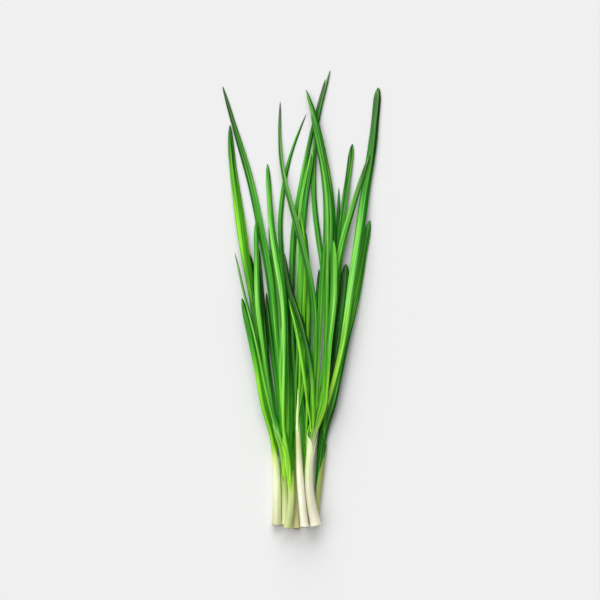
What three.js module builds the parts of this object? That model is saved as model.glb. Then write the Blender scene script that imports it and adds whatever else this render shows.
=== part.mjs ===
// A bunch of eight spring onions lying on a table. Their cut white shanks lie together at one
// end and their hollow leaves fan out to the other. Nothing ties them: each shank and each leaf
// rests on the ones laid before it.
//
// Millimetres. +Y runs from the cut ends to the leaf tips, +X across the bunch, +Z up.

import * as THREE from 'three';

// ---- Sizes of the bunch ----

const BUNCH_LENGTH = 366;       // from the lowest cut end to the farthest leaf tip
const BUNCH_SPREAD = 125;       // across the outermost leaf tips
const SHANK_DIAMETER = 8.4;     // of the thickest shank, at its cut end
const SHANK_TAPER = 0.24;       // share of its thickness that a shank loses up to its crown
const LEAF_WIDTH = 8.4;         // of the broadest leaf, flat across
const LEAF_FLATNESS = 0.48;     // thickness of a leaf as a share of its width
const LEAF_BASE_WIDTH = 0.45;   // width of a leaf where it starts, as a share of its full width
const LEAF_SWELL = 0.74;        // share of its length in which a leaf reaches full width
const LEAF_TAPER_POWER = 10;    // higher keeps a leaf broad for longer before it tapers
const LEAF_TIP_ROUNDNESS = 0.7; // lower makes the last stretch before the tip blunter
const LEAF_TIP_WIDTH = 0.6;     // of the dry point at the end of a leaf
const CLEARANCE = 0.3;          // air between two pieces that lie on each other
const CROWN_GAP = 0.7;          // from the end of a shank to the start of its leaves
const LEAF_BEND_RADIUS = 420;   // the tightest that a leaf droops over what is under it
const SHANK_BEND_RADIUS = 1500; // a shank is stiffer and hardly droops

// ---- How finely the pieces are made ----

const SIDES = 8;                // flats round a shank or leaf
const STATION_SPACING = 22;     // along a piece, between two of its rings
const FEWEST_STATIONS = 4;
const SAMPLE_SPACING = 1.5;     // along a piece, where its height over the others is worked out
const SMOOTHING = 12;           // heights are evened out over this far each way

// ---- Layout ----
// Places in the two tables are for a bunch of this length and spread, with the cut ends near
// y = 0 and x = 0 on the middle line. They stretch with BUNCH_LENGTH and BUNCH_SPREAD.

const LAYOUT_LENGTH = 366;
const LAYOUT_SPREAD = 125;
const along = (y) => y * BUNCH_LENGTH / LAYOUT_LENGTH;
const across = (x) => x * BUNCH_SPREAD / LAYOUT_SPREAD;

// Onions 1 to 8 from left to right at the cut ends. bow is how far the middle of the shank
// stands aside from the straight line, and size is its thickness against SHANK_DIAMETER.
const ONIONS = {
  1: { foot: [-19.6, 1], crown: [-21, 62], bow: 1, size: 0.85 },
  2: { foot: [-12, 1], crown: [-13, 50], bow: 0, size: 0.82 },
  3: { foot: [-10.7, -1], crown: [-8.6, 41], bow: 1.8, size: 0.76 },
  4: { foot: [-4.2, -2], crown: [-4.6, 58], bow: 0.4, size: 0.68 },
  5: { foot: [2.8, 0], crown: [-2.6, 76], bow: -0.8, size: 0.76 },
  6: { foot: [5, 2], crown: [4, 58], bow: -0.7, size: 0.76 },
  7: { foot: [11.6, 1], crown: [7.6, 60], bow: -3.2, size: 1 },
  8: { foot: [11.4, 6], crown: [17, 62], bow: 0, size: 0.68 },
};

// Leaves from the bottom of the pile up. aside places the start of a leaf on its onion's crown,
// from -1 at the left edge to 1 at the right, and tip is its other end. In between it stands off
// the straight line by three waves: bow has one swing to the side, sway two and curl three.
// size is its width against LEAF_WIDTH, and taper is given where it isn't LEAF_TAPER_POWER.
// A sheath is a loose tongue of a shank, and an underleaf lies dark at the bottom of the pile.
const LEAVES = [
  { onion: 3, tip: [-34, 222], bow: -4.5, aside: -0.9, size: 0.62, tone: 'deep', kind: 'underleaf' },
  { onion: 4, tip: [-8, 200], bow: -1, aside: -0.2, size: 0.62, tone: 'deep', kind: 'underleaf' },
  { onion: 6, tip: [2, 190], bow: -1.5, aside: -0.8, size: 0.62, tone: 'deep', kind: 'underleaf' },
  { onion: 8, tip: [29, 228], bow: 2, aside: -0.7, size: 0.62, tone: 'deep', kind: 'underleaf' },
  { onion: 1, tip: [-42, 218], bow: 0, aside: -0.2, size: 0.78, tone: 'deep' },
  { onion: 1, tip: [-57, 320], bow: -3.5, curl: -1, aside: 0.8, size: 0.89, tone: 'green' },
  { onion: 2, tip: [-28, 186], bow: -1.2, aside: 0.9, size: 0.5, tone: 'green' },
  { onion: 3, tip: [-26, 240], bow: 0.7, sway: -1, aside: -0.5, size: 0.56, tone: 'mint' },
  { onion: 2, tip: [-63, 351], bow: 12, sway: -1, aside: 0, size: 0.8, tone: 'green', taper: 5 },
  { onion: 2, tip: [-36, 243], bow: -5.5, sway: 0.5, aside: -0.85, size: 0.56, tone: 'mint' },
  { onion: 1, tip: [-47, 182], bow: 1, aside: -0.9, size: 0.78, tone: 'green' },
  { onion: 2, tip: [-53, 218], bow: 1, aside: -0.85, size: 0.42, tone: 'mint', taper: 3 },
  { onion: 4, tip: [19, 357], bow: -13, sway: 2.5, curl: 1, aside: -0.45, size: 0.67, tone: 'deep',
    taper: 4 },
  { onion: 4, tip: [8, 298], bow: -5.8, sway: 1.7, curl: -1.4, aside: 0.65, size: 0.44, tone: 'mint' },
  { onion: 4, tip: [-7, 107], bow: -1, aside: -0.75, size: 0.33, tone: 'pale' },
  { onion: 8, tip: [30, 270], bow: 2.9, aside: -0.45, size: 0.4, tone: 'green' },
  { onion: 8, tip: [41, 305], bow: -1.1, sway: 1, aside: 0, size: 0.67, tone: 'green' },
  { onion: 8, tip: [36, 209], bow: 0, sway: -0.6, aside: 0.9, size: 0.92, tone: 'deep' },
  { onion: 8, tip: [55, 244], bow: 0.5, aside: 0.8, size: 0.8, tone: 'green' },
  { onion: 6, tip: [14, 205], bow: 1, aside: 0, size: 0.44, tone: 'deep' },
  { onion: 6, tip: [23, 364], bow: 1.6, sway: 9, curl: -1, aside: 0.15, size: 0.56, tone: 'deep', taper: 5 },
  { onion: 6, tip: [4, 234], bow: 2.5, aside: -0.4, size: 0.56, tone: 'lime' },
  { onion: 6, tip: [4, 348], bow: 21, sway: -1.8, curl: 1, aside: 0.35, size: 0.72, tone: 'green' },
  { onion: 3, tip: [-15, 165], bow: -3, aside: -0.5, size: 0.4, tone: 'lime' },
  { onion: 3, tip: [4, 329], bow: -13, sway: 6, curl: -2.6, aside: 0.4, size: 0.56, tone: 'deep', taper: 4 },
  { onion: 3, tip: [-27, 289], bow: 2.4, sway: -0.8, curl: -2.2, aside: 0, size: 0.67, tone: 'mint' },
  { onion: 5, tip: [10, 300], bow: -4, sway: 1.7, aside: 0, size: 0.56, tone: 'green' },
  { onion: 5, tip: [0, 250], bow: 3.4, curl: 0.7, aside: 0.35, size: 0.44, tone: 'lime' },
  { onion: 5, tip: [1, 169], bow: 3.9, sway: -0.8, aside: 0.65, size: 0.33, tone: 'deep' },
  { onion: 5, tip: [-3, 110], bow: 0.3, aside: -0.4, size: 0.5, tone: 'pale', kind: 'sheath' },
  { onion: 7, tip: [62, 350], bow: 7.2, sway: 1.7, curl: 1, aside: 0.8, size: 0.95, tone: 'mottled' },
  { onion: 8, tip: [55, 296], bow: -10.4, sway: 2, aside: 0, size: 0.61, tone: 'green' },
  { onion: 7, tip: [8, 328], bow: 14, curl: 2, aside: -0.1, size: 0.61, tone: 'mint', taper: 5 },
  { onion: 7, tip: [26, 228], bow: 5.5, sway: 0.7, curl: 0.8, aside: 0.6, size: 0.64, tone: 'mint' },
  { onion: 7, tip: [19, 228], bow: 2.1, sway: 1.3, aside: -0.8, size: 0.5, tone: 'mint' },
  { onion: 7, tip: [-17, 339], bow: 9, sway: 5, curl: -2.8, aside: -0.2, size: 0.72, tone: 'green',
    taper: 3 },
  { onion: 7, tip: [-13, 217], bow: 6.7, sway: 2.4, curl: -1.3, aside: 0.4, size: 0.62, tone: 'deep' },
  { onion: 7, tip: [-10, 182], bow: 4.8, aside: -0.6, size: 0.4, tone: 'lime' },
];

const COLOURS = {
  shank: 0xe9eed2,
  pale: 0xdfe9c4,
  lime: 0x9bc53a,
  green: 0x4f9440,
  mint: 0x86b878,
  mottled: 0x3f7d42,
  deep: 0x23603c,
};

// ---- Centre lines ----

/** Splits a run of this length into equal steps and gives the value of line at each of them. */
function stations(length, line) {
  const steps = Math.max(FEWEST_STATIONS, Math.ceil(length / STATION_SPACING));
  return Array.from({ length: steps + 1 }, (_, i) => line(i / steps));
}

/** Half the thickness of a shank at share t of its length. */
function shankHalf(onion, t) {
  return SHANK_DIAMETER * onion.size / 2 * (1 - SHANK_TAPER * t);
}

/** A shank from its cut end to its crown, round and tapering. */
function shankStations(onion) {
  const [footX, footY] = [across(onion.foot[0]), along(onion.foot[1])];
  const [crownX, crownY] = [across(onion.crown[0]), along(onion.crown[1])];
  return stations(crownY - footY, (t) => {
    const half = shankHalf(onion, t);
    return {
      x: THREE.MathUtils.lerp(footX, crownX, t) + across(onion.bow) * Math.sin(Math.PI * t),
      y: THREE.MathUtils.lerp(footY, crownY, t),
      halfWidth: half,
      halfHeight: half,
    };
  });
}

/** Width of a leaf at share t of its length: it swells from its base and tapers to its tip. */
function leafWidth(leaf, t) {
  const swell = THREE.MathUtils.smoothstep(t, 0, LEAF_SWELL);
  const grown = THREE.MathUtils.lerp(LEAF_BASE_WIDTH, 1, swell);
  const tapered = (1 - t ** (leaf.taper ?? LEAF_TAPER_POWER)) ** LEAF_TIP_ROUNDNESS;
  return Math.max(LEAF_TIP_WIDTH, LEAF_WIDTH * leaf.size * grown * tapered);
}

/** A leaf from just past its onion's crown to its tip. */
function leafStations(leaf) {
  const onion = ONIONS[leaf.onion];
  const startX = across(onion.crown[0]) + leaf.aside * shankHalf(onion, 1);
  const startY = along(onion.crown[1]) + CROWN_GAP;
  const [tipX, tipY] = [across(leaf.tip[0]), along(leaf.tip[1])];
  const { bow = 0, sway = 0, curl = 0 } = leaf;
  return stations(tipY - startY, (t) => {
    const aside = bow * Math.sin(Math.PI * t)
      + sway * Math.sin(2 * Math.PI * t)
      + curl * Math.sin(3 * Math.PI * t);
    const width = leafWidth(leaf, t);
    return {
      x: THREE.MathUtils.lerp(startX, tipX, t) + across(aside),
      y: THREE.MathUtils.lerp(startY, tipY, t),
      halfWidth: width / 2,
      halfHeight: width / 2 * LEAF_FLATNESS,
    };
  });
}

// ---- Laying one piece on another ----

/** Points close together between each two stations, with the segment that each lies on. */
function samplesAlong(run) {
  const samples = [];
  for (let segment = 0; segment < run.length - 1; segment += 1) {
    const [a, b] = [run[segment], run[segment + 1]];
    const count = Math.ceil(Math.hypot(b.x - a.x, b.y - a.y) / SAMPLE_SPACING);
    const last = segment === run.length - 2 ? count : count - 1;
    for (let i = 0; i <= last; i += 1) {
      const share = i / count;
      const mix = (key) => THREE.MathUtils.lerp(a[key], b[key], share);
      samples.push({
        x: mix('x'), y: mix('y'), halfWidth: mix('halfWidth'), halfHeight: mix('halfHeight'),
        segment, share,
      });
    }
  }
  return samples;
}

/** Lowest that the middle of a sample can lie: on the table, or on any piece under it. */
function lowestHeight(sample, laid) {
  let height = sample.halfHeight;
  for (const under of laid) {
    const reach = sample.halfWidth + under.halfWidth + CLEARANCE;
    const dy = Math.abs(sample.y - under.y);
    if (dy >= reach) continue;
    const apart = Math.hypot(sample.x - under.x, dy);
    if (apart >= reach) continue;
    const stack = sample.halfHeight + under.halfHeight + CLEARANCE;
    height = Math.max(height, under.z + stack * Math.sqrt(1 - (apart / reach) ** 2));
  }
  return height;
}

/**
 * Gives each station of a run its height. The run touches its highest supports, droops from
 * them no faster than bendRadius allows, is evened out, and is lifted wherever that left a
 * straight stretch between two stations below a support.
 */
function lay(run, laid, bendRadius, startHeight) {
  const samples = samplesAlong(run);
  const lowest = samples.map((sample) => lowestHeight(sample, laid));
  lowest[0] = Math.max(lowest[0], startHeight);
  const far = (i, j) => Math.hypot(samples[i].x - samples[j].x, samples[i].y - samples[j].y);
  const drooped = samples.map((_, i) =>
    Math.max(...lowest.map((height, j) => height - far(i, j) ** 2 / (2 * bendRadius))));
  const even = samples.map((_, i) => {
    const near = drooped.filter((_height, j) => far(i, j) <= SMOOTHING);
    return near.reduce((sum, height) => sum + height, 0) / near.length;
  });
  const firstOf = (segment) => samples.findIndex((sample) => sample.segment === segment);
  run.forEach((station, k) => {
    station.z = k < run.length - 1 ? even[firstOf(k)] : even[even.length - 1];
  });
  const heightAt = ({ segment, share }) =>
    THREE.MathUtils.lerp(run[segment].z, run[segment + 1].z, share);
  const lift = run.map(() => 0);
  samples.forEach((sample, i) => {
    const short = lowest[i] - heightAt(sample);
    lift[sample.segment] = Math.max(lift[sample.segment], short);
    lift[sample.segment + 1] = Math.max(lift[sample.segment + 1], short);
  });
  run.forEach((station, k) => { station.z += lift[k]; });
  return samples.map((sample) => ({ ...sample, z: heightAt(sample) }));
}

// ---- Solids ----

/** A closed tapered tube through the stations: a cylinder whose rings are moved onto them. */
function tubeGeometry(run) {
  const steps = run.length - 1;
  const geometry = new THREE.CylinderGeometry(1, 1, 1, SIDES, steps);
  const points = run.map(({ x, y, z }) => new THREE.Vector3(x, y, z));
  const up = new THREE.Vector3(0, 0, 1);
  const frames = points.map((point, k) => {
    const before = points[Math.max(k - 1, 0)];
    const after = points[Math.min(k + 1, steps)];
    const direction = after.clone().sub(before).normalize();
    const side = direction.clone().cross(up).normalize();
    return { side, top: side.clone().cross(direction) };
  });
  const position = geometry.getAttribute('position');
  for (let i = 0; i < position.count; i += 1) {
    const k = Math.round((position.getY(i) + 0.5) * steps);
    const vertex = points[k].clone()
      .addScaledVector(frames[k].side, position.getX(i) * run[k].halfWidth)
      .addScaledVector(frames[k].top, position.getZ(i) * run[k].halfHeight);
    position.setXYZ(i, vertex.x, vertex.y, vertex.z);
  }
  geometry.computeVertexNormals();
  return geometry;
}

/** A named mesh with a material of its own. */
function piece(name, run, tone, roughness) {
  const material = new THREE.MeshStandardMaterial({
    color: COLOURS[tone], roughness, metalness: 0,
  });
  const mesh = new THREE.Mesh(tubeGeometry(run), material);
  mesh.name = name;
  return mesh;
}

// ---- The bunch ----
// Seven shanks go down first and make a bed. The shank of onion 5 is the longest and lies over
// the leaves of onion 4, so it goes down just before its own leaves.

const SHANK_ROUGHNESS = 0.35;
const LEAF_ROUGHNESS = 0.5;
const BED_OF_SHANKS = [2, 4, 6, 8, 1, 3, 7];

const bunch = new THREE.Group();
const laid = [];
const crownHeights = {};
const leafCounts = {};

function layShank(number) {
  const run = shankStations(ONIONS[number]);
  const samples = lay(run, laid, SHANK_BEND_RADIUS, 0);
  laid.push(...samples.map((sample) => ({ ...sample, shankOf: number })));
  crownHeights[number] = run[run.length - 1].z;
  leafCounts[number] = 0;
  bunch.add(piece(`onion_${number}_shank`, run, 'shank', SHANK_ROUGHNESS));
}

function layLeaf(leaf) {
  const number = leaf.onion;
  const run = leafStations(leaf);
  const others = laid.filter((sample) => sample.shankOf !== number);
  laid.push(...lay(run, others, LEAF_BEND_RADIUS, crownHeights[number]));
  if (!leaf.kind) leafCounts[number] += 1;
  const name = leaf.kind ?? `leaf_${leafCounts[number]}`;
  bunch.add(piece(`onion_${number}_${name}`, run, leaf.tone, LEAF_ROUGHNESS));
}

BED_OF_SHANKS.forEach(layShank);
for (const leaf of LEAVES) {
  if (!(leaf.onion in crownHeights)) layShank(leaf.onion);
  layLeaf(leaf);
}

// The origin is under the middle of the bunch, on the table.
const box = new THREE.Box3().setFromObject(bunch);
const middle = box.getCenter(new THREE.Vector3());
bunch.position.set(-middle.x, -middle.y, -box.min.z);

export default bunch;
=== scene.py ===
import bpy
import numpy as np
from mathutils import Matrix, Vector


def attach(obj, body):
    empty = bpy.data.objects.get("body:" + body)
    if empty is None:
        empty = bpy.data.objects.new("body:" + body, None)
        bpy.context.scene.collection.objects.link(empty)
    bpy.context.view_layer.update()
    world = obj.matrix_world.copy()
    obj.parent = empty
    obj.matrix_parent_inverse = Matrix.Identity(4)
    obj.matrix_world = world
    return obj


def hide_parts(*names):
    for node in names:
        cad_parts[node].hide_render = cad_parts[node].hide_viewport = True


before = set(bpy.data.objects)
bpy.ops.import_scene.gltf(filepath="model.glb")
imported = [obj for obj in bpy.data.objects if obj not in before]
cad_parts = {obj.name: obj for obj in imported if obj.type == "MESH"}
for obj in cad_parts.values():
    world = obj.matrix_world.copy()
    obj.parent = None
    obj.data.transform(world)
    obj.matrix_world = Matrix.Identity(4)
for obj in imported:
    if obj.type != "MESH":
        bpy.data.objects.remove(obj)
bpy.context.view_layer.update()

# ---- Shanks ----
# The white lower part of each onion is a roll of fleshy leaf bases, one wrapped round the other,
# and cut flat just above the roots. The outermost base is a closed sleeve whose upper rim is
# slanted into a V, and the leaves come out of that.

MM = 0.001
RING_GAP = 3 * MM          # two rings of a CAD tube are farther apart along Y than this
COLUMNS = 48               # round a shank
FACE_ROWS = 12             # from the middle of the cut face to its edge
SHANK_ROWS = 110           # up the outside
RIM_ROWS = 5               # over the rim
INSIDE_ROWS = 14           # down the inside of the sleeve
SHANK_SEED = 40
PHASES = (0, 6)            # radians, for where a wave starts

SKIN = 0.45 * MM           # thickness of the outer leaf base at its rim
INSIDE_DEPTH = 12 * MM     # how far below the V the sleeve is open
RIM_ROUNDING = 0.2 * MM    # the rim's edge swells up by this
RIM_WAVE = 1.5 * MM        # the rim wanders up and down by this, in three waves round
V_OPENING = 0.9            # lower makes the V narrower
SPREAD_TOP = 22 * MM       # a sleeve has widened all it does by this height above the crown
CUT_TILT = 0.35 * MM       # the knife's cut is this far from square
FACE_DISH = 0.35 * MM      # the middle of the cut face is sunk by this
FACE_STEP = 0.12 * MM      # the cut edges of the inner bases stand out and in by this
FACE_WAVES = 22            # radians of those edges between the middle and the outside
FLARE = 0.13               # the cut end is this much wider than the shank above it
FLARE_LENGTH = 3.5 * MM
LAP_STEP = 0.16 * MM       # height of the edge where the outer base laps over itself
LAP_EDGE = 14              # that edge takes up one part in this many of the way round
LAP_TWIST = 9              # radians that it turns in a metre
RIDGE_HEIGHT = 0.035 * MM
RIDGES = 17
RIDGE_TWIST = 25           # radians of their wave in a metre, which turns them slowly round
TURN_OUT = 40 * MM         # above the crown the roll turns over this length to face its leaves
ROOM = 0.72                # the half width that a leaf has inside the roll, against its radius
AXIS_TOP = 25 * MM         # directions across the roll are worked out up to here,
AXIS_SAMPLES = 200         # at this many places
FLOOR_GAP = 0.05 * MM      # nothing comes nearer to the table than this

# Onion: way the V faces, in degrees anticlockwise from +X seen from the cut end; its depth below
# the crown, and the height above it of the rim's left and right points, in mm; the share by which
# the sleeve has widened at the rim, and how far below the crown it starts to, in mm; and colours
# from the cut end to the rim.
SHANKS = {
    1: (20, 12, 22, 2, 0.3, 0,
        ("#d2cfa8", "#e6e9c4", "#f2f8cc", "#f4fad0", "#e2f4a0", "#94d820", "#6cc414")),
    2: (112, 16, 4, 12, 1.0, 25,
        ("#e0dab4", "#dfe2b8", "#c8d498", "#b4ca78", "#a0c458", "#86c430", "#68b81c")),
    3: (95, 15, 3, 24, 0.5, 20,
        ("#dad8ae", "#ccd29e", "#bccc88", "#c8d890", "#c4dc78", "#a8d844", "#98d430")),
    4: (90, 8, 8, 8, 0.3, 0,
        ("#f8ecba", "#f8efbe", "#f0ebb4", "#dce29c", "#c0d878", "#8cc438", "#6cb020")),
    5: (60, 2, 3, 14, -0.42, 42,
        ("#f6f4e6", "#fafae8", "#f2f4d8", "#dfe4b4", "#d8e0a4", "#e4f0b4", "#dcee98")),
    6: (90, 8, 8, 8, 0.3, 0,
        ("#d4cba4", "#d4d0ac", "#c8d494", "#a4c860", "#7cb838", "#4c9c14", "#3a840e")),
    7: (52, 2, 15, 36, 0.4, 10,
        ("#f2eadb", "#e6e0d0", "#e2dfcc", "#dfe6c0", "#e2efc4", "#f2f8cc", "#dcecb0")),
    8: (150, 38, 3, 2, 0.7, 45,
        ("#ccca9c", "#bcc488", "#a8b86c", "#a2b45c", "#98b050", "#6c9834", "#3c7018")),
}
CROWN_STOPS = (-62 * MM, -46 * MM, -30 * MM, -18 * MM, -9 * MM, 0, 14 * MM)  # from the crown
CREAM = "#e9e2b4"          # flesh where it is a little dry
VEIN_TINT = "#c4dc8c"      # over the veins of a leaf base
# Noise periods in a metre round a base and along it. Its veins are about 0.4 mm apart in life,
# and are drawn 0.9 mm apart so that they can be seen. Its blotches are 6 mm by 17 mm.
BASE_VEINS = (1100, 22, 1)
BASE_BLOTCHES = (160, 60, 1)


def rings(name):
    """Centres, half widths and half heights of a CAD tube's rings, in order along Y.

    The vertices sorted along Y fall into groups with a wide gap between them, one to a ring.
    """
    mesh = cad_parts[name].data
    co = np.empty(len(mesh.vertices) * 3, np.float32)
    mesh.vertices.foreach_get("co", co)
    co = np.unique(co.reshape(-1, 3).astype(float).round(6), axis=0)
    co = co[np.argsort(co[:, 1])]
    groups = np.split(co, np.flatnonzero(np.diff(co[:, 1]) > RING_GAP) + 1)
    centres = np.array([(g.min(0) + g.max(0)) / 2 for g in groups])
    widths = np.array([np.hypot(*np.ptp(g[:, :2], axis=0)) / 2 for g in groups])
    heights = np.array([np.ptp(g[:, 2]) / 2 for g in groups])
    return centres, widths, heights


def distances(points):
    """Distance of each point from the first, along the straight lines between them."""
    steps = np.linalg.norm(np.diff(points, axis=0), axis=1)
    return np.concatenate([[0], np.cumsum(steps)])


def smooth(values, places, at):
    """A cubic between each two places, whose slope at a place is that of the line through its
    two neighbours."""
    slopes = np.gradient(values, places, axis=0)
    i = np.clip(np.searchsorted(places, at, side="right") - 1, 0, len(places) - 2)
    gap = (places[i + 1] - places[i])[:, None]
    t = (at - places[i])[:, None] / gap
    start = (2 * t**3 - 3 * t**2 + 1) * values[i] + (t**3 - 2 * t**2 + t) * gap * slopes[i]
    end = (3 * t**2 - 2 * t**3) * values[i + 1] + (t**3 - t**2) * gap * slopes[i + 1]
    return start + end


def ease(x):
    """From 0 to 1, flat at both ends: three times the square less twice the cube."""
    x = np.clip(x, 0, 1)
    return x * x * (3 - 2 * x)


def unit(vectors):
    """Vectors divided by their lengths."""
    return vectors / np.linalg.norm(vectors, axis=-1, keepdims=True)


def cross_directions(centres):
    """At each point of a path, the level direction to its right and the one square to both."""
    ahead = unit(np.gradient(centres, axis=0))
    right = unit(np.cross(ahead, [0, 0, 1]))
    return right, np.cross(right, ahead)


def skin(name, points, around, along, **attributes):
    """A closed mesh over a grid of points: columns run round and join, and the first and last
    rows are each closed by a fan to their middle point. UV is metres round and metres along."""
    rows, columns = points.shape[:2]
    corners = points.reshape(-1, 3)
    poles = np.array([points[0].mean(0), points[-1].mean(0)])
    i, j = np.mgrid[0:rows - 1, 0:columns]
    k = (j + 1) % columns
    quads = np.stack([i * columns + j, (i + 1) * columns + j, (i + 1) * columns + k,
                      i * columns + k], -1).reshape(-1, 4)
    c = np.arange(columns)
    d = (c + 1) % columns
    end = (rows - 1) * columns
    first = np.stack([c, d, np.full(columns, rows * columns)], -1)
    last = np.stack([d + end, c + end, np.full(columns, rows * columns + 1)], -1)
    mesh = bpy.data.meshes.new(name)
    mesh.from_pydata(np.concatenate([corners, poles]).tolist(), [],
                     quads.tolist() + first.tolist() + last.tolist())
    mesh.polygons.foreach_set("use_smooth", np.ones(len(mesh.polygons), bool))
    step = np.stack([j, j, j + 1, j + 1], -1).reshape(-1)
    row = np.stack([i, i + 1, i + 1, i], -1).reshape(-1)
    fan_step = np.stack([c, c + 1, c + 0.5], -1).reshape(-1)
    fan_back = np.stack([c + 1, c, c + 0.5], -1).reshape(-1)
    closed_along = np.concatenate([along, along[:, :1]], 1)
    u = np.concatenate([around[row] * step / columns, around[0] * fan_step / columns,
                        around[-1] * fan_back / columns])
    v = np.concatenate([closed_along[row, step], np.full(columns * 3, along[0].mean()),
                        np.full(columns * 3, along[-1].mean())])
    uv = mesh.uv_layers.new(name="skin")
    uv.data.foreach_set("uv", np.stack([u, v], -1).astype(np.float32).ravel())
    for key, grid in attributes.items():
        grid = np.broadcast_to(grid, (rows, columns))
        values = np.concatenate([grid.ravel(), [grid[0].mean(), grid[-1].mean()]])
        layer = mesh.attributes.new(key, "FLOAT", "POINT")
        layer.data.foreach_set("value", values.astype(np.float32))
    mesh.validate()
    made = bpy.data.objects.new(name, mesh)
    bpy.context.scene.collection.objects.link(made)
    return made


def linear(hex_colour):
    """The linear RGBA of an sRGB hex colour."""
    part = np.array([int(hex_colour[i:i + 2], 16) for i in (1, 3, 5)]) / 255
    part = np.where(part <= 0.04045, part / 12.92, ((part + 0.055) / 1.055) ** 2.4)
    return (*part.tolist(), 1)


def add(material, kind, inputs=None, stops=None, **settings):
    """Adds a node with its own settings, its inputs' values or links, and a ramp's stops."""
    made = material.node_tree.nodes.new("ShaderNode" + kind)
    for key, value in settings.items():
        setattr(made, key, value)
    for key, value in (inputs or {}).items():
        if isinstance(value, bpy.types.NodeSocket):
            material.node_tree.links.new(value, made.inputs[key])
        else:
            made.inputs[key].default_value = value
    if stops:
        ramp = made.color_ramp
        while len(ramp.elements) < len(stops):
            ramp.elements.new(0.5)
        for element, (place, colour) in zip(ramp.elements, stops):
            element.position = place
            element.color = linear(colour)
    return made


def wrapped_leaf_base(name, colours, stops=CROWN_STOPS):
    """Living leaf base: watery white flesh under a thin skin, which greens towards the light.
    It looks soft and slightly see-through, with a moist satin sheen and fine lengthwise veins.
    The colours lie at the stops, which are heights above the crown."""
    material = bpy.data.materials.new(name)
    material.use_nodes = True
    shader = material.node_tree.nodes["Principled BSDF"]
    place = add(material, "UVMap", uv_map="skin").outputs["UV"]
    veins = add(material, "Mapping", {"Vector": place, "Scale": BASE_VEINS})
    veins = add(material, "TexNoise", {"Vector": veins.outputs[0], "Scale": 1, "Detail": 2})
    blotches = add(material, "Mapping", {"Vector": place, "Scale": BASE_BLOTCHES})
    blotches = add(material, "TexNoise", {"Vector": blotches.outputs[0], "Scale": 1, "Detail": 3})
    split = add(material, "SeparateXYZ", {0: place})
    ragged = add(material, "MapRange", {"Value": veins.outputs[0], "From Min": 0.3, "From Max": 0.7,
                                        "To Min": -5 * MM, "To Max": 5 * MM})
    height = add(material, "Math", {0: split.outputs["Y"], 1: ragged.outputs[0]}, operation="ADD")
    low, high = stops[0], stops[-1]
    share = add(material, "MapRange", {"Value": height.outputs[0], "From Min": low,
                                       "From Max": high})
    ramp = add(material, "ValToRGB", {0: share.outputs[0]},
               stops=[((s - low) / (high - low), c) for s, c in zip(stops, colours)])
    tint = add(material, "MapRange", {"Value": blotches.outputs[0], "From Min": 0.35,
                                      "From Max": 0.7, "To Min": 0, "To Max": 0.35})
    tinted = add(material, "Mix", {0: tint.outputs[0], 6: ramp.outputs[0],
                                   7: linear(CREAM)}, data_type="RGBA", blend_type="MULTIPLY")
    line = add(material, "MapRange", {"Value": veins.outputs[0], "From Min": 0.35,
                                      "From Max": 0.65, "To Min": 0.25, "To Max": 0})
    lined = add(material, "Mix", {0: line.outputs[0], 6: tinted.outputs[2],
                                  7: linear(VEIN_TINT)}, data_type="RGBA", blend_type="MULTIPLY")
    bump = add(material, "Bump", {"Height": veins.outputs[0], "Strength": 0.35,
                                  "Distance": 0.12 * MM})
    gloss = add(material, "MapRange", {"Value": blotches.outputs[0], "To Min": 0.26,
                                       "To Max": 0.48})
    links = material.node_tree.links
    links.new(lined.outputs[2], shader.inputs["Base Color"])
    links.new(bump.outputs[0], shader.inputs["Normal"])
    links.new(gloss.outputs[0], shader.inputs["Roughness"])
    shader.inputs["IOR"].default_value = 1.4
    shader.inputs["Subsurface Weight"].default_value = 0.18
    shader.inputs["Subsurface Radius"].default_value = (1, 0.9, 0.45)
    shader.inputs["Subsurface Scale"].default_value = 1.5 * MM
    return material


def crown_of(n):
    """An onion's shank as the CAD has it, and the way its leaves go: from the end of the shank
    to the mean of the places that its leaves reach TURN_OUT from their starts."""
    centres, radii, _ = rings(f"onion_{n}_shank")
    leaves = [rings(name)[0] for name in sorted(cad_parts)
              if name.startswith(f"onion_{n}_") and not name.endswith("shank")]
    reached = [smooth(c, distances(c), np.array([TURN_OUT]))[0] for c in leaves]
    narrowed = 1 + min(SHANKS[n][4], 0)
    return {"centres": centres, "places": distances(centres), "radii": radii,
            "radius": radii[-1], "room": ROOM * radii[-1] * narrowed,
            "ahead": unit(centres[-1] - centres[-2]),
            "fan": unit(np.mean(reached, 0) - centres[-1])}


crowns = {n: crown_of(n) for n in SHANKS}


def roll_axis(n, above):
    """Points on the middle line of an onion's roll at heights above its crown: the CAD shank's
    own line below it, and above it a line that turns to face the middle of the leaves."""
    crown = crowns[n]
    length = crown["places"][-1]
    inside = smooth(crown["centres"], crown["places"], np.clip(length + above, 0, length))
    turned = ease(above / TURN_OUT)[:, None]
    facing = crown["ahead"] * (1 - turned) + crown["fan"] * turned
    beyond = np.maximum(above, 0)[:, None] * facing
    foot_ahead = unit(crown["centres"][1] - crown["centres"][0])
    before = np.minimum(above + length, 0)[:, None] * foot_ahead
    return inside + beyond + before


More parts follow.
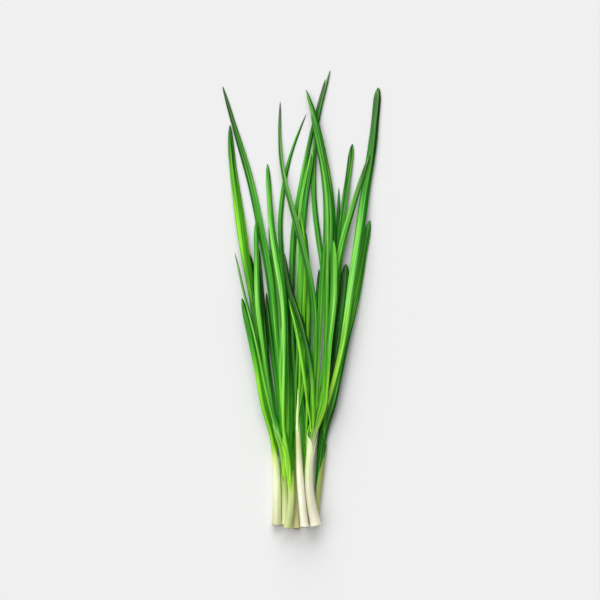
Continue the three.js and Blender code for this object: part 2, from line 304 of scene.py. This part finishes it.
def shank_radius(n, above, angle, random):
    """Radius of the outside at heights above the crown and angles round: the CAD shank's, times
    its spread, times a flare that dies away from the cut, plus a step that spirals round and fine
    ridges."""
    spread, start = SHANKS[n][4:6]
    crown = crowns[n]
    length = crown["places"][-1]
    radius = np.interp(np.clip(above + length, 0, length), crown["places"], crown["radii"])
    radius = radius * (1 + spread * ease((above + start * MM) / (SPREAD_TOP + start * MM)))
    radius = radius * (1 + FLARE * np.exp(-np.maximum(above + length, 0) / FLARE_LENGTH))
    lap = (angle - random.uniform(*PHASES) - above * LAP_TWIST) / (2 * np.pi) % 1
    radius = radius + LAP_STEP * (lap - 0.5) * ease(lap * LAP_EDGE)
    return radius + RIDGE_HEIGHT * np.sin(RIDGES * angle + RIDGE_TWIST * above)


def shank(n):
    """A shank's surface, from the middle of its cut face out to the edge, up the outside to the
    rim, over it and down the inside. The rim's height is that of a tilted plane, which falls to
    the V by a power of the sine of half the angle from it."""
    facing, depth, rim_left, rim_right, _, _, colours = SHANKS[n]
    crown = crowns[n]
    length = crown["places"][-1]
    random = np.random.default_rng(SHANK_SEED + n)
    angle = np.arange(COLUMNS) / COLUMNS * 2 * np.pi
    from_v = np.abs((angle - np.radians(facing) + np.pi) % (2 * np.pi) - np.pi)
    rise = np.sin(from_v / 2) ** V_OPENING
    uneven = RIM_WAVE * np.sin(3 * angle + random.uniform(*PHASES))
    plane = (rim_left + rim_right) / 2 + (rim_right - rim_left) / 2 * np.cos(angle)
    rim = -depth * MM + (depth + plane) * MM * rise + uneven * rise
    tilt = CUT_TILT * np.cos(angle - random.uniform(*PHASES))

    face_share = np.linspace(0.04, 0.97, FACE_ROWS)[:, None]
    face = (-length + tilt + FACE_DISH * (1 - face_share**4)
            + FACE_STEP * np.sin(face_share * FACE_WAVES))
    outside = -length + tilt + (length + rim - tilt) * np.linspace(0, 1, SHANK_ROWS)[:, None]
    over_share = np.linspace(0, 1, RIM_ROWS + 2)[1:-1]
    over = np.sin(over_share * np.pi)[:, None] * RIM_ROUNDING + rim
    bottom = -depth * MM - INSIDE_DEPTH
    inside = rim + (bottom - rim) * np.linspace(0, 1, INSIDE_ROWS)[:, None]
    above = np.concatenate([face, outside, over, inside])
    rows = len(above)

    skin_share = np.concatenate([np.zeros(FACE_ROWS + SHANK_ROWS), over_share,
                                 np.ones(INSIDE_ROWS)])[:, None]
    inward = np.concatenate([np.broadcast_to(face_share, face.shape),
                             np.ones((rows - FACE_ROWS, COLUMNS))])
    radius = (shank_radius(n, above, angle, random) - skin_share * SKIN) * inward
    axis = roll_axis(n, above.ravel()).reshape(rows, COLUMNS, 3)
    right, up = cross_directions(roll_axis(n, np.linspace(-length, AXIS_TOP, AXIS_SAMPLES)))
    last = AXIS_SAMPLES - 1
    near = (above.mean(1) + length) / (length + AXIS_TOP) * last
    near = np.clip(near.astype(int), 0, last)
    right, up = right[near][:, None], up[near][:, None]
    points = axis + radius[..., None] * (np.cos(angle)[:, None] * right
                                         + np.sin(angle)[:, None] * up)
    points[..., 2] = np.maximum(points[..., 2], FLOOR_GAP)
    around = np.full(rows, 2 * np.pi * crown["radius"])
    made = skin(f"onion_{n}_white", points, around, above)
    made.data.materials.append(wrapped_leaf_base(f"wrapped_leaf_base_{n}", colours))
    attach(made, "root")
    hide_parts(f"onion_{n}_shank")


for n in SHANKS:
    shank(n)

# ---- Root plates ----
# Across each cut end is what the knife left of the hard plate that the roots grew from: a thin
# brown disc with a ragged edge and the stubs of a few roots.

# Onion: how far its root stubs stand proud of the cut, in mm.
PLATES = {1: 0.3, 2: 1.0, 3: 0.4, 4: 1.3, 5: 0.9, 6: 1.3, 7: 0.35, 8: 0.8}
PLATE_ROWS = 14            # from the middle of the face to its edge
PLATE_SEED = 70
PLATE_SHARE = 0.72         # its radius against the cut end's
PLATE_LEVEL = 0.25         # height of the plain face against the stubs'
PLATE_EDGE = 0.02 * MM     # height of the face's edge above the cut
PLATE_SUNK = 0.9 * MM      # how far its side goes into the shank
STUBS = 9
STUB_RADIUS = 0.2          # against the plate's, as are their places
STUB_PLACES = (0.45, 0.85)
STUB_HEIGHTS = (0.5, 1)
COARSE_RAG = 0.05          # five waves of this share of the radius round the outline,
FINE_RAG = 0.03            # and eleven of this
CRUMBS = 1400              # in a metre: the dried tissue crumbles into grains of 0.7 mm

# Dried root tissue: corky and quite matt, dark where roots broke off and pale where it was cut.
trimmed_root = bpy.data.materials.new("trimmed_root_plate")
trimmed_root.use_nodes = True
root_shader = trimmed_root.node_tree.nodes["Principled BSDF"]
plate_place = add(trimmed_root, "UVMap", uv_map="skin").outputs["UV"]
crumbs = add(trimmed_root, "TexNoise", {"Vector": plate_place, "Scale": CRUMBS, "Detail": 3})
browns = add(trimmed_root, "ValToRGB", {0: crumbs.outputs[0]},
             stops=[(0.35, "#6e5832"), (0.5, "#b8a470"), (0.66, "#e6dcb6")])
trimmed_root.node_tree.links.new(browns.outputs[0], root_shader.inputs["Base Color"])
root_shader.inputs["Roughness"].default_value = 0.8


def root_plate(n, proud):
    """A plate's surface, out from the middle of its face to the edge and back into the shank. The
    face's height is the greatest of a plain level and, at each root stub, a steep-sided bump that
    falls off by the fourth power of the distance. Two sine waves make the outline ragged."""
    random = np.random.default_rng(PLATE_SEED + n)
    length = crowns[n]["places"][-1]
    angle = np.arange(COLUMNS) / COLUMNS * 2 * np.pi
    share = np.concatenate([np.linspace(0.05, 1, PLATE_ROWS), [1.0, 0.97]])[:, None]
    x, y = share * np.cos(angle), share * np.sin(angle)
    height = np.full(x.shape, PLATE_LEVEL)
    for _ in range(STUBS):
        way, far = random.uniform(0, 2 * np.pi), random.uniform(*STUB_PLACES)
        off = np.hypot(x - far * np.cos(way), y - far * np.sin(way))
        bump = random.uniform(*STUB_HEIGHTS) * np.exp(-(off / STUB_RADIUS) ** 4)
        height = np.maximum(height, bump)
    out = height * proud * MM
    out[-2:] = [[PLATE_EDGE], [-PLATE_SUNK]]
    coarse = COARSE_RAG * np.sin(5 * angle + random.uniform(*PHASES))
    ragged = 1 + coarse + FINE_RAG * np.sin(11 * angle)
    radius = crowns[n]["radii"][0] * (1 + FLARE) * PLATE_SHARE * share * ragged
    axis = roll_axis(n, (-length - out).ravel()).reshape(*out.shape, 3)
    right, up = cross_directions(crowns[n]["centres"][:3])
    points = axis + radius[..., None] * (np.cos(angle)[:, None] * right[0]
                                         + np.sin(angle)[:, None] * up[0])
    points[..., 2] = np.maximum(points[..., 2], FLOOR_GAP)
    around = 2 * np.pi * radius.mean(1)
    made = skin(f"onion_{n}_root_plate", points, around, radius)
    made.data.materials.append(trimmed_root)
    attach(made, "root")
    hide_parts(f"onion_{n}_shank")


for n, proud in PLATES.items():
    root_plate(n, proud)

# ---- Leaves ----
# Each leaf is a hollow tube of thin green skin that has gone flat along a soft crease. It grows
# out of its onion's roll, lime where it was shaded there and deep green in the light, under a
# waxy bloom. One half of its top is painted paler, as if lit, and the other painted darker, as
# if shaded, with a painted highlight along the crease.

LEAF_ROWS = 190
LEAF_COLUMNS = 36
ROW_PACKING = 1.25         # above 1, rows lie closer together towards the tip
LEAF_SEED = 100

ROOTED = 7 * MM            # length of a leaf inside the roll, below the V
NESTED = 0.35              # how far a leaf starts from the roll's middle, as a share of its radius
SETTLED = 42 * MM          # past this, a leaf lies where its CAD solid does
LEAVING = 14 * MM          # above the crown, a leaf gets its own width over this length
TIP_LENGTH = 30 * MM       # in which a leaf narrows to its blunt point
TIP_POWER = 0.6            # lower makes that point blunter
BROAD_FADE = 30 * MM       # over which the broad start of a leaf passes into its own width
FULLER = 0.05              # share of the way from the CAD base width to the full width
FULLER_REACH = 0.4         # share of its length by which that has died away
RIPPLE = 0.05              # a leaf's width goes up and down by this share of it
RIPPLE_LENGTH = 17 * MM    # along the leaf in a radian of that
ROUNDER = 0.3              # near the crown a leaf is thicker by this share of its width,
ROUNDER_REACH = 60 * MM    # which has died away here
NARROWEST = 0.12 * MM      # half the width of the tip,
THINNEST = 0.1 * MM        # and half its thickness

CREASE_POWERS = (1.12, 1.4)   # 1 makes a leaf's section a diamond and 2 an ellipse
CREASE_ASIDE = (-0.15, 0.3)   # of its middle, as a share of its half width
CREASE_WANDER = 0.12          # the edge of the painted light and shade along the crease goes to and fro by this share, with this much of the leaf in a radian
CREASE_WANDER_LENGTH = 45 * MM    # with this much of the leaf in a radian
CREASE_WIDTH = 0.13           # half the width of the painted highlight line along it
TWISTS = (6, 14)              # degrees that a leaf leans to one side and the other
TWIST_TURNS = (2, 5)          # radians of that along a leaf
TWIST_START = 60 * MM         # over which it comes in,
TWIST_END = 20 * MM           # and dies away again before the tip
WOBBLE = 0.25 * MM            # a leaf goes to and fro by this,
WOBBLE_LENGTH = 13 * MM       # with this much of it in a radian
LIT_HALF_EDGE = 2.4              # how sharply the wax and the painted light and shade change at the crease
LIT_ON_LEFT = 0.72          # share of the leaves whose left half is painted paler, as lit, and right half darker, as shaded

# Greens of a leaf, from where it was shaded in the roll to where it is oldest.
WHITE = "#f7f8d4"
PALE = "#cfe98a"
LIME = "#b4f420"
FRESH = "#92ea24"
MINT = "#94ea66"
GRASS = "#6ed428"
LEAF = "#38b01c"
FOREST = "#16800f"
DEEP = "#044a06"
SAGE = "#6cb054"
DUSK = "#1d5226"           # also the last millimetres of a live tip
DRY = "#625c58"            # a dead tip
WAX_AND_PAINTED_LIGHT = "#b6f08c"          # wax over green, and painted light on the lit half
PAINTED_SHADE = "#5aa840"          # painted shade over the half turned from the light
VEIN_DARK = "#7aae5e"      # over the furrows between veins
VEIN_PALE = "#9af04c"      # on the veins themselves
# Noise periods in a metre round a leaf and along it. Its veins are about 0.4 mm apart in life,
# and are drawn 1 mm apart so that they can be seen. Its clouds of colour are 5 mm by 29 mm.
LEAF_VEINS = (1000, 14, 1)
LEAF_CLOUDS = (190, 34, 1)

# Leaf: colours from the crown to the tip, share of bloom, which also sets how strongly its halves
# are painted lit and shaded, and length of its dry tip in mm.
BLADES = {
    "onion_3_underleaf": ((GRASS, LEAF, FOREST, DEEP, DEEP), 0.05, 0),
    "onion_4_underleaf": ((GRASS, LEAF, DEEP, DEEP, DEEP), 0.05, 0),
    "onion_6_underleaf": ((GRASS, LEAF, FOREST, DEEP, DEEP), 0.05, 0),
    "onion_8_underleaf": ((FOREST, DEEP, DEEP, DEEP, DEEP), 0.05, 0),
    "onion_1_leaf_1": ((LIME, FRESH, GRASS, LEAF, DEEP), 0.15, 0),
    "onion_1_leaf_2": ((LIME, GRASS, FOREST, FRESH, FOREST), 0.15, 0),
    "onion_1_leaf_3": ((LIME, FRESH, FRESH, LEAF, FOREST), 0.15, 0),
    "onion_2_leaf_1": ((LIME, GRASS, LEAF, FOREST, DEEP), 0.1, 0),
    "onion_2_leaf_2": ((LIME, GRASS, LEAF, LEAF, DEEP), 0.3, 0),
    "onion_2_leaf_3": ((LIME, MINT, GRASS, MINT, LEAF), 0.25, 0),
    "onion_2_leaf_4": ((LIME, MINT, GRASS, SAGE, SAGE), 0.25, 12),
    "onion_3_leaf_1": ((LIME, GRASS, MINT, MINT, LEAF), 0.25, 0),
    "onion_3_leaf_2": ((LIME, FRESH, FRESH, GRASS, LEAF), 0.2, 0),
    "onion_3_leaf_3": ((LIME, GRASS, FOREST, LEAF, LEAF), 0.3, 16),
    "onion_3_leaf_4": ((LIME, FRESH, MINT, MINT, LEAF), 0.4, 0),
    "onion_4_leaf_1": ((FRESH, LEAF, FOREST, LEAF, DUSK), 0.3, 26),
    "onion_4_leaf_2": ((FRESH, GRASS, LEAF, MINT, GRASS), 0.3, 0),
    "onion_5_leaf_1": ((LIME, FRESH, GRASS, LEAF, FOREST), 0.2, 0),
    "onion_5_leaf_2": ((PALE, LIME, FRESH, FRESH, GRASS), 0.2, 0),
    "onion_5_leaf_3": ((FRESH, LEAF, FOREST, FOREST, DEEP), 0.1, 0),
    "onion_6_leaf_1": ((GRASS, LEAF, FOREST, FOREST, DEEP), 0.1, 0),
    "onion_6_leaf_2": ((GRASS, FOREST, LEAF, LEAF, FOREST), 0.35, 0),
    "onion_6_leaf_3": ((LIME, FRESH, FRESH, GRASS, LEAF), 0.25, 0),
    "onion_6_leaf_4": ((FRESH, LEAF, DEEP, LEAF, SAGE), 0.35, 0),
    "onion_7_leaf_1": ((WHITE, LIME, MINT, LEAF, DUSK), 0.35, 0),
    "onion_7_leaf_2": ((PALE, LIME, GRASS, MINT, LEAF), 0.35, 0),
    "onion_7_leaf_3": ((WHITE, LIME, GRASS, MINT, GRASS), 0.3, 0),
    "onion_7_leaf_4": ((PALE, LIME, GRASS, GRASS, LEAF), 0.3, 0),
    "onion_7_leaf_5": ((PALE, FRESH, LEAF, SAGE, SAGE), 0.3, 22),
    "onion_7_leaf_6": ((PALE, FRESH, FOREST, DEEP, DEEP), 0.1, 0),
    "onion_7_leaf_7": ((PALE, LIME, FRESH, FRESH, GRASS), 0.3, 0),
    "onion_8_leaf_1": ((FOREST, FOREST, FOREST, LEAF, FOREST), 0.1, 0),
    "onion_8_leaf_2": ((FOREST, LEAF, FOREST, LEAF, FOREST), 0.3, 0),
    "onion_8_leaf_3": ((FOREST, FOREST, DEEP, FOREST, DEEP), 0.15, 0),
    "onion_8_leaf_4": ((LEAF, FOREST, LEAF, GRASS, LEAF), 0.35, 0),
    "onion_8_leaf_5": ((FRESH, LEAF, LEAF, GRASS, DUSK), 0.3, 0),
}
# Leaves that are broad where they come off the roll, such as an onion's outermost: the width
# there, and how far above the crown they keep it, in mm.
OUTERMOST = {
    "onion_1_leaf_3": (5.6, 60),
    "onion_2_leaf_3": (7.0, 20),
    "onion_3_leaf_4": (8.0, 16),
    "onion_3_leaf_3": (5.5, 80),
    "onion_7_leaf_2": (4.4, 36),
    "onion_7_leaf_3": (4.8, 36),
    "onion_7_leaf_4": (4.2, 36),
    "onion_6_leaf_4": (3.6, 30),
    "onion_8_leaf_1": (5.5, 20),
    "onion_8_leaf_4": (4.6, 30),
    "onion_4_underleaf": (7.0, 90),
    "onion_6_underleaf": (7.0, 90),
    "onion_8_underleaf": (6.0, 90),
}
# Leaves that have slid to the outside of their roll: how far, in place of NESTED.
SLID_OUT = {"onion_8_leaf_1": 1.3, "onion_8_underleaf": 1.1}
# Leaves with a blunt end: the length in which they narrow, in mm, where it isn't TIP_LENGTH.
BLUNT = {
    "onion_7_leaf_1": 11, "onion_8_leaf_2": 13, "onion_8_leaf_3": 14, "onion_8_leaf_4": 16,
    "onion_1_leaf_1": 14, "onion_2_leaf_3": 16, "onion_6_leaf_2": 20,
    "onion_3_leaf_4": 20, "onion_7_leaf_3": 18, "onion_5_leaf_1": 20,
}
BLADE_STOPS = (0, 0.16, 0.42, 0.7, 0.97)    # the colours' places, as shares of the length


def leaf_skin(name, colours, bloom, dry):
    """Live onion leaf: smooth green skin with lengthwise veins under a thin coat of wax. The wax
    gives a dull satin sheen and a paler green where it is thick. One half of the top is painted
    paler, as if lit, and the other painted darker, as if shaded, with a painted highlight along
    the crease."""
    material = bpy.data.materials.new(name)
    material.use_nodes = True
    shader = material.node_tree.nodes["Principled BSDF"]
    place = add(material, "UVMap", uv_map="skin").outputs["UV"]
    share = add(material, "Attribute", attribute_name="share").outputs["Fac"]
    lit_half = add(material, "Attribute", attribute_name="bloom").outputs["Fac"]
    ridge = add(material, "Attribute", attribute_name="ridge").outputs["Fac"]
    to_tip = add(material, "Attribute", attribute_name="to_tip").outputs["Fac"]
    veins = add(material, "Mapping", {"Vector": place, "Scale": LEAF_VEINS})
    veins = add(material, "TexNoise", {"Vector": veins.outputs[0], "Scale": 1, "Detail": 2})
    clouds = add(material, "Mapping", {"Vector": place, "Scale": LEAF_CLOUDS})
    clouds = add(material, "TexNoise", {"Vector": clouds.outputs[0], "Scale": 1, "Detail": 4})
    stray = add(material, "MapRange", {"Value": clouds.outputs[0], "From Min": 0.3,
                                       "From Max": 0.7, "To Min": -0.07, "To Max": 0.07})
    moved = add(material, "Math", {0: share, 1: stray.outputs[0]}, operation="ADD")
    ramp = add(material, "ValToRGB", {0: moved.outputs[0]}, stops=list(zip(BLADE_STOPS, colours)))
    # Painted shade: the half of the top turned from the light is darkened, the more so on leaves
    # with more bloom.
    painted_shade_amount = add(material, "MapRange", {"Value": lit_half, "To Min": min(0.45 + 1.4 * bloom, 1),
                                      "To Max": 0})
    full = add(material, "Mix", {0: painted_shade_amount.outputs[0], 6: ramp.outputs[0], 7: linear(PAINTED_SHADE)},
               data_type="RGBA", blend_type="MULTIPLY")
    # Painted light: pale clouds of wax on the lit half only, partly real bloom and partly painted
    # light.
    wax_and_painted_light = add(material, "MapRange", {"Value": clouds.outputs[0], "From Min": 0.3,
                                     "From Max": 0.65, "To Min": 0.1 * bloom,
                                     "To Max": 0.6 * bloom})
    wax_and_painted_light = add(material, "Math", {0: wax_and_painted_light.outputs[0], 1: lit_half}, operation="MULTIPLY")
    # Painted highlight: a pale line along the crease.
    painted_line_strength = add(material, "Math", {0: ridge, 1: 0.1 + 0.5 * bloom}, operation="MULTIPLY")
    wax_and_painted_light = add(material, "Math", {0: wax_and_painted_light.outputs[0], 1: painted_line_strength.outputs[0]}, operation="MAXIMUM")
    waxed_and_lit = add(material, "Mix", {0: wax_and_painted_light.outputs[0], 6: full.outputs[2], 7: linear(WAX_AND_PAINTED_LIGHT)},
                data_type="RGBA")
    line = add(material, "MapRange", {"Value": veins.outputs[0], "From Min": 0.35,
                                      "From Max": 0.62, "To Min": 0.85, "To Max": 0})
    lined = add(material, "Mix", {0: line.outputs[0], 6: waxed_and_lit.outputs[2],
                                  7: linear(VEIN_DARK)}, data_type="RGBA", blend_type="MULTIPLY")
    raised = add(material, "MapRange", {"Value": veins.outputs[0], "From Min": 0.56,
                                        "From Max": 0.72, "To Min": 0, "To Max": 0.5})
    lined = add(material, "Mix", {0: raised.outputs[0], 6: lined.outputs[2],
                                  7: linear(VEIN_PALE)}, data_type="RGBA")
    dried = add(material, "MapRange", {"Value": to_tip, "From Min": 0.3 * dry * MM,
                                       "From Max": max(dry, 2.5) * MM, "To Min": 1, "To Max": 0})
    end = add(material, "Mix", {0: dried.outputs[0], 6: lined.outputs[2],
                                7: linear(DRY if dry else DUSK)}, data_type="RGBA")
    bump = add(material, "Bump", {"Height": veins.outputs[0], "Strength": 0.4,
                                  "Distance": 0.1 * MM})
    gloss = add(material, "MapRange", {"Value": clouds.outputs[0], "To Min": 0.36,
                                       "To Max": 0.52})
    links = material.node_tree.links
    links.new(end.outputs[2], shader.inputs["Base Color"])
    links.new(bump.outputs[0], shader.inputs["Normal"])
    links.new(gloss.outputs[0], shader.inputs["Roughness"])
    shader.inputs["IOR"].default_value = 1.42
    shader.inputs["Specular IOR Level"].default_value = 0.25
    return material


def blade_line(name, n, at, centres, places):
    """Points on a leaf's middle line. Near the crown they are on the roll's axis, moved aside the
    way the leaf starts, and they ease over to the CAD leaf's own line by SETTLED."""
    own = smooth(centres, places, np.clip(at, 0, places[-1]))
    aside = own[np.searchsorted(at, 0)] - roll_axis(n, np.zeros(1))[0]
    nested = (SLID_OUT.get(name, NESTED) * crowns[n]["radius"]
              * aside / (np.linalg.norm(aside) + MM))
    settled = ease(at / SETTLED)[:, None]
    return (roll_axis(n, at) + nested) * (1 - settled) + own * settled


def blade_width(name, n, at, rooted, places, widths, random):
    """Half widths of a leaf: the CAD leaf's, made a little fuller, at least as broad as the start
    of a broad leaf, passing into the roll's room towards the bottom, rippled by a sine, and
    brought down to the tip by a power of a parabola."""
    length = places[-1]
    tip = BLUNT[name] * MM if name in BLUNT else TIP_LENGTH
    body = np.interp(np.minimum(at, length - TIP_LENGTH), places, widths)
    fuller = FULLER * (1 - ease(at / (FULLER_REACH * length)))
    width = body + fuller * (widths.max() - body)
    if name in OUTERMOST:
        base, reach = OUTERMOST[name]
        broad = base / 2 * MM * (1 - ease((at - reach * MM) / BROAD_FADE))
        width = np.maximum(width, broad)
    in_roll = 1 - ease((at + rooted) / (rooted + LEAVING))
    width = width * (1 - in_roll) + crowns[n]["room"] * in_roll
    width = width * (1 + RIPPLE * np.sin(at / RIPPLE_LENGTH + random.uniform(*PHASES)))
    point = (1 - (1 - np.clip((length - at) / tip, 0, 1)) ** 2) ** TIP_POWER
    return np.maximum(width * point, NARROWEST)


def blade(name, order):
    """A leaf's surface: a flattened ring carried along its middle line. The ring is a power curve
    between a diamond and an ellipse, so that it has a crease, and the crease stands aside from
    its middle by a parabola. The ring leans by a sine of the way along."""
    random = np.random.default_rng(LEAF_SEED + order)
    centres, widths, heights = rings(name)
    places = distances(centres)
    length = places[-1]
    n = int(name.split("_")[1])
    rooted = ROOTED + SHANKS[n][1] * MM
    spread = np.linspace(0, 1, LEAF_ROWS)
    at = -rooted + (length + rooted) * (1 - (1 - spread) ** ROW_PACKING)
    to_tip = length - at
    centre = blade_line(name, n, at, centres, places)
    width = blade_width(name, n, at, rooted, places, widths, random)
    flat = heights.max() / widths.max() + ROUNDER * (1 - ease(at / ROUNDER_REACH))
    height = np.maximum(width * flat, THINNEST)

    angle = np.arange(LEAF_COLUMNS) / LEAF_COLUMNS * 2 * np.pi
    power = 2 / random.uniform(*CREASE_POWERS)
    across = np.sign(np.cos(angle)) * np.abs(np.cos(angle)) ** power
    upward = np.sign(np.sin(angle)) * np.abs(np.sin(angle)) ** power
    crease = random.uniform(*CREASE_ASIDE)
    across = (across + crease * (1 - across**2))[None]
    x = across * width[:, None]
    z = upward * height[:, None]
    lean = np.radians(random.uniform(*TWISTS)) * np.sin(at / length * random.uniform(*TWIST_TURNS)
                                                        + random.uniform(*PHASES))
    lean = (lean * ease(at / TWIST_START) * ease(to_tip / TWIST_END))[:, None]
    x, z = x * np.cos(lean) - z * np.sin(lean), x * np.sin(lean) + z * np.cos(lean)
    right, up = cross_directions(centre)
    wave = WOBBLE * np.sin(at / WOBBLE_LENGTH + random.uniform(*PHASES)) * ease(at / SETTLED)
    centre = centre + right * wave[:, None]
    points = centre[:, None] + x[..., None] * right[:, None] + z[..., None] * up[:, None]
    points[..., 2] = np.maximum(points[..., 2], FLOOR_GAP)

    # Painted light and shade: one half of the top, split at the crease, is painted paler as if lit
    # and the other darker as if shaded; most leaves have their left half lit.
    lit_side = 1 if random.random() < LIT_ON_LEFT else -1
    wander = CREASE_WANDER * np.sin(at / CREASE_WANDER_LENGTH + random.uniform(*PHASES))
    off_crease = across - crease + wander[:, None]
    upper = np.sin(angle) > -0.01
    lit_half = np.where(upper, ease(0.5 - LIT_HALF_EDGE * lit_side * off_crease), 0.5)
    # Painted highlight: a narrow pale line along the crease of the top.
    ridge = np.where(upper, np.exp(-(off_crease / CREASE_WIDTH) ** 2), 0)
    share = np.clip(at / length, 0, 1)[:, None]
    around = np.pi * (width + height)
    along = np.broadcast_to(at[:, None], points.shape[:2])
    return skin(name + "_blade", points, around, along, bloom=lit_half, ridge=ridge, share=share,
                to_tip=to_tip[:, None])


for order, (name, (colours, bloom, dry)) in enumerate(BLADES.items()):
    made = blade(name, order)
    made.data.materials.append(leaf_skin("leaf_skin" + name[5:], colours, bloom, dry))
    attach(made, "root")
    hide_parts(name)

# ---- Loose sheaths ----
# Two onions carry a tongue of outer leaf base that has come away from the roll. It is the same
# flesh as the shank and thin at its edges, nearly white on onion 5 and light green on onion 4.

# Tongue: colours from the crown to its tip.
SHEATHS = {
    "onion_4_leaf_3": ("#9cd44c", "#86d03c", "#74c834", "#62bc2c", "#4ca820"),
    "onion_5_sheath": ("#fdffe0", "#f6ffcc", "#efffb4", "#ecffb0", "#e2f7a0"),
}
SHEATH_STOPS = (-0.2, 0.2, 0.5, 0.8, 1)    # the colours' places, as shares of the length
FIRST_SHEATH = 50          # its order among the leaves
for order, (name, colours) in enumerate(SHEATHS.items(), FIRST_SHEATH):
    made = blade(name, order)
    length = distances(rings(name)[0])[-1]
    stops = tuple(share * length for share in SHEATH_STOPS)
    made.data.materials.append(wrapped_leaf_base("loose_leaf_base" + name[5:], colours, stops))
    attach(made, "root")
    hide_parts(name)

# ---- Table ----
# A plain table top in matt white paint, which scatters light evenly and has next to no sheen.
# It is wide enough to reach past every view.

TABLE_HALF = 6.0           # metres from its middle to an edge
floor_mesh = bpy.data.meshes.new("table_top")
corners = np.array([(-1, -1, 0), (1, -1, 0), (1, 1, 0), (-1, 1, 0)]) * TABLE_HALF
floor_mesh.from_pydata(corners.tolist(), [], [(0, 1, 2, 3)])
floor = bpy.data.objects.new("table_top", floor_mesh)
bpy.context.scene.collection.objects.link(floor)
matt_paint = bpy.data.materials.new("matt_white_paint")
matt_paint.use_nodes = True
paint_shader = matt_paint.node_tree.nodes["Principled BSDF"]
paint_shader.inputs["Base Color"].default_value = linear("#e9e9e9")
paint_shader.inputs["Roughness"].default_value = 0.9
paint_shader.inputs["Specular IOR Level"].default_value = 0.1
floor_mesh.materials.append(matt_paint)

# ---- Studio light ----
# Two broad soft lights, the stronger from beyond the leaf tips and the weaker from above on the
# left, in an even pale surround.

# Light: strength, breadth in degrees, and the way from the table towards it.
SUNS = {
    "soft_key": (2.6, 50, (-0.1, 0.9, 0.5)),
    "soft_fill": (1.5, 60, (-0.6, 0.2, 0.85)),
}
SURROUND_STRENGTH = 0.287
for name, (strength, breadth, towards) in SUNS.items():
    light = bpy.data.lights.new(name, "SUN")
    light.energy = strength
    light.angle = np.radians(breadth)
    lamp = bpy.data.objects.new(name, light)
    bpy.context.scene.collection.objects.link(lamp)
    lamp.rotation_euler = Vector(towards).to_track_quat("Z", "Y").to_euler()
world = bpy.data.worlds.new("pale_surround")
bpy.context.scene.world = world
world.use_nodes = True
world.node_tree.nodes["Background"].inputs["Color"].default_value = linear("#ffffff")
world.node_tree.nodes["Background"].inputs["Strength"].default_value = SURROUND_STRENGTH
bpy.context.scene.view_settings.view_transform = "Standard"

# ---- Camera ----
# It looks straight down on the table with a long lens, from where the whole bunch is seen with
# plenty of table round it.

LENS_MM = 135
FIELD = 0.480              # width of the table in view
AIM = (-0.4 * MM, -0.8 * MM)    # middle of the view on the table
camera_data = bpy.data.cameras.new("overhead")
camera_data.lens = LENS_MM
camera = bpy.data.objects.new("overhead", camera_data)
bpy.context.scene.collection.objects.link(camera)
camera.location = (*AIM, FIELD / camera_data.sensor_width * LENS_MM)
bpy.context.scene.camera = camera
